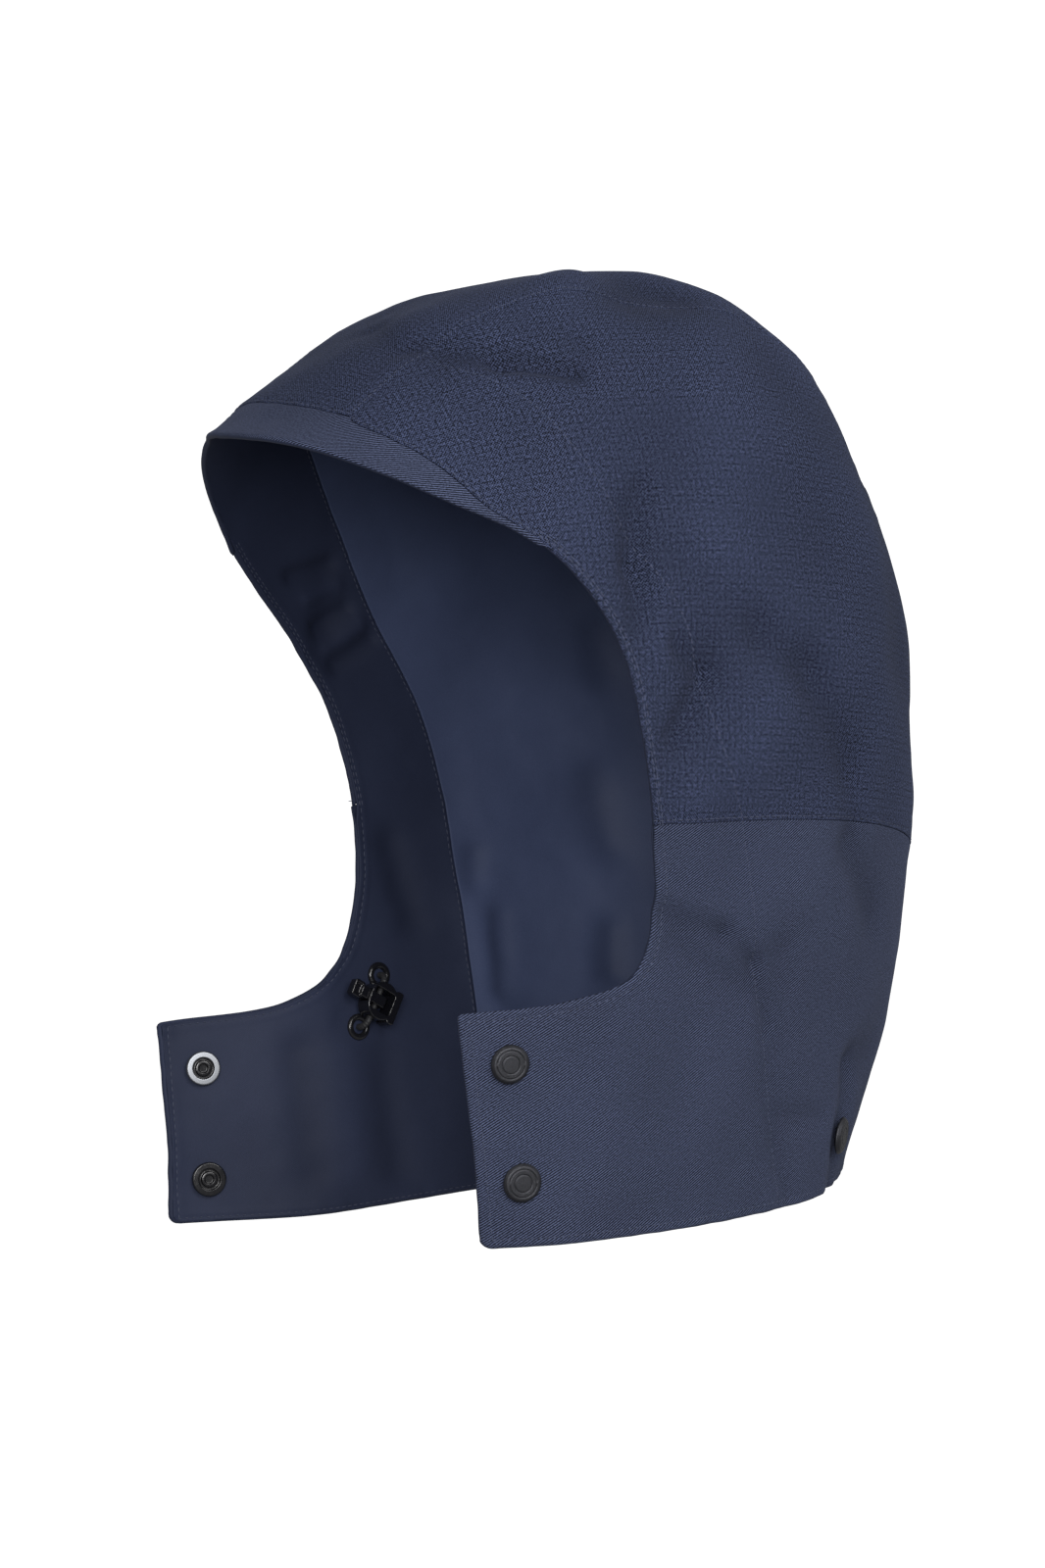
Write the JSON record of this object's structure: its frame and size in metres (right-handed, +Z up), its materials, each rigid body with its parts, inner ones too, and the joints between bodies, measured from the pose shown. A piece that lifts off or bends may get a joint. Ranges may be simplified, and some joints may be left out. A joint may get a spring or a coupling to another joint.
{
  "type": "detachable hood",
  "caption": "Detachable work-jacket hood with a peaked brow, front flaps, press studs and cord locks, shown in its worn form.",
  "frame": {"origin": "inside of the crown, where the hood rests on a head", "axes": "+Z up, -Y towards the face opening, +X towards the wearer's left"},
  "size_m": [0.2312, 0.3215, 0.3838],
  "materials": {
    "canvas": "matt ripstop canvas",
    "twill": "matt fine twill",
    "facing": "smooth plain weave",
    "lining": "smooth, slightly shiny",
    "stud_black": "satin black",
    "stud_nickel": "bright nickel",
    "eyelet": "gloss black",
    "lock_plastic": "moulded, matt",
    "cord": "smooth round cord"
  },
  "bodies": {
    "root": {"crown_panel": "canvas", "side_panel_left": "canvas", "side_panel_right": "canvas", "neck_panel": "twill", "peak_band": "twill", "front_facing": "facing", "lining_left": "lining", "lining_right": "lining", "lining_crown": "lining", "snap_cap_upper_left": "stud_black", "snap_cap_lower_left": "stud_black", "snap_cap_nape_left": "stud_black", "snap_cap_upper_right": "stud_black", "snap_cap_lower_right": "stud_black", "snap_cap_nape_right": "stud_black", "snap_socket_upper_left": "stud_nickel", "snap_socket_lower_left": "stud_black", "snap_socket_nape_left": "stud_black", "snap_socket_upper_right": "stud_nickel", "snap_socket_lower_right": "stud_black", "snap_socket_nape_right": "stud_black", "cord_eyelet_upper_left": "eyelet", "cord_eyelet_lower_left": "eyelet", "cord_eyelet_upper_right": "eyelet", "cord_eyelet_lower_right": "eyelet", "cord_lock_body_left": "lock_plastic", "cord_lock_body_right": "lock_plastic", "draw_cord_left": "cord", "draw_cord_right": "cord"},
    "plunger_left": {"cord_lock_plunger_left": "lock_plastic"},
    "plunger_right": {"cord_lock_plunger_right": "lock_plastic"}
  },
  "joints": [
    {"name": "press_left", "type": "slide", "parent": "root", "child": "plunger_left", "axis": [0.0555, -0.8659, 0.4972], "range_m": [-0.0025, 0], "stiffness_N_per_m": 300, "springref_m": 0.002},
    {"name": "press_right", "type": "slide", "parent": "root", "child": "plunger_right", "axis": [-0.0555, -0.8659, 0.4972], "range_m": [-0.0025, 0], "stiffness_N_per_m": 300, "springref_m": 0.002}
  ]
}
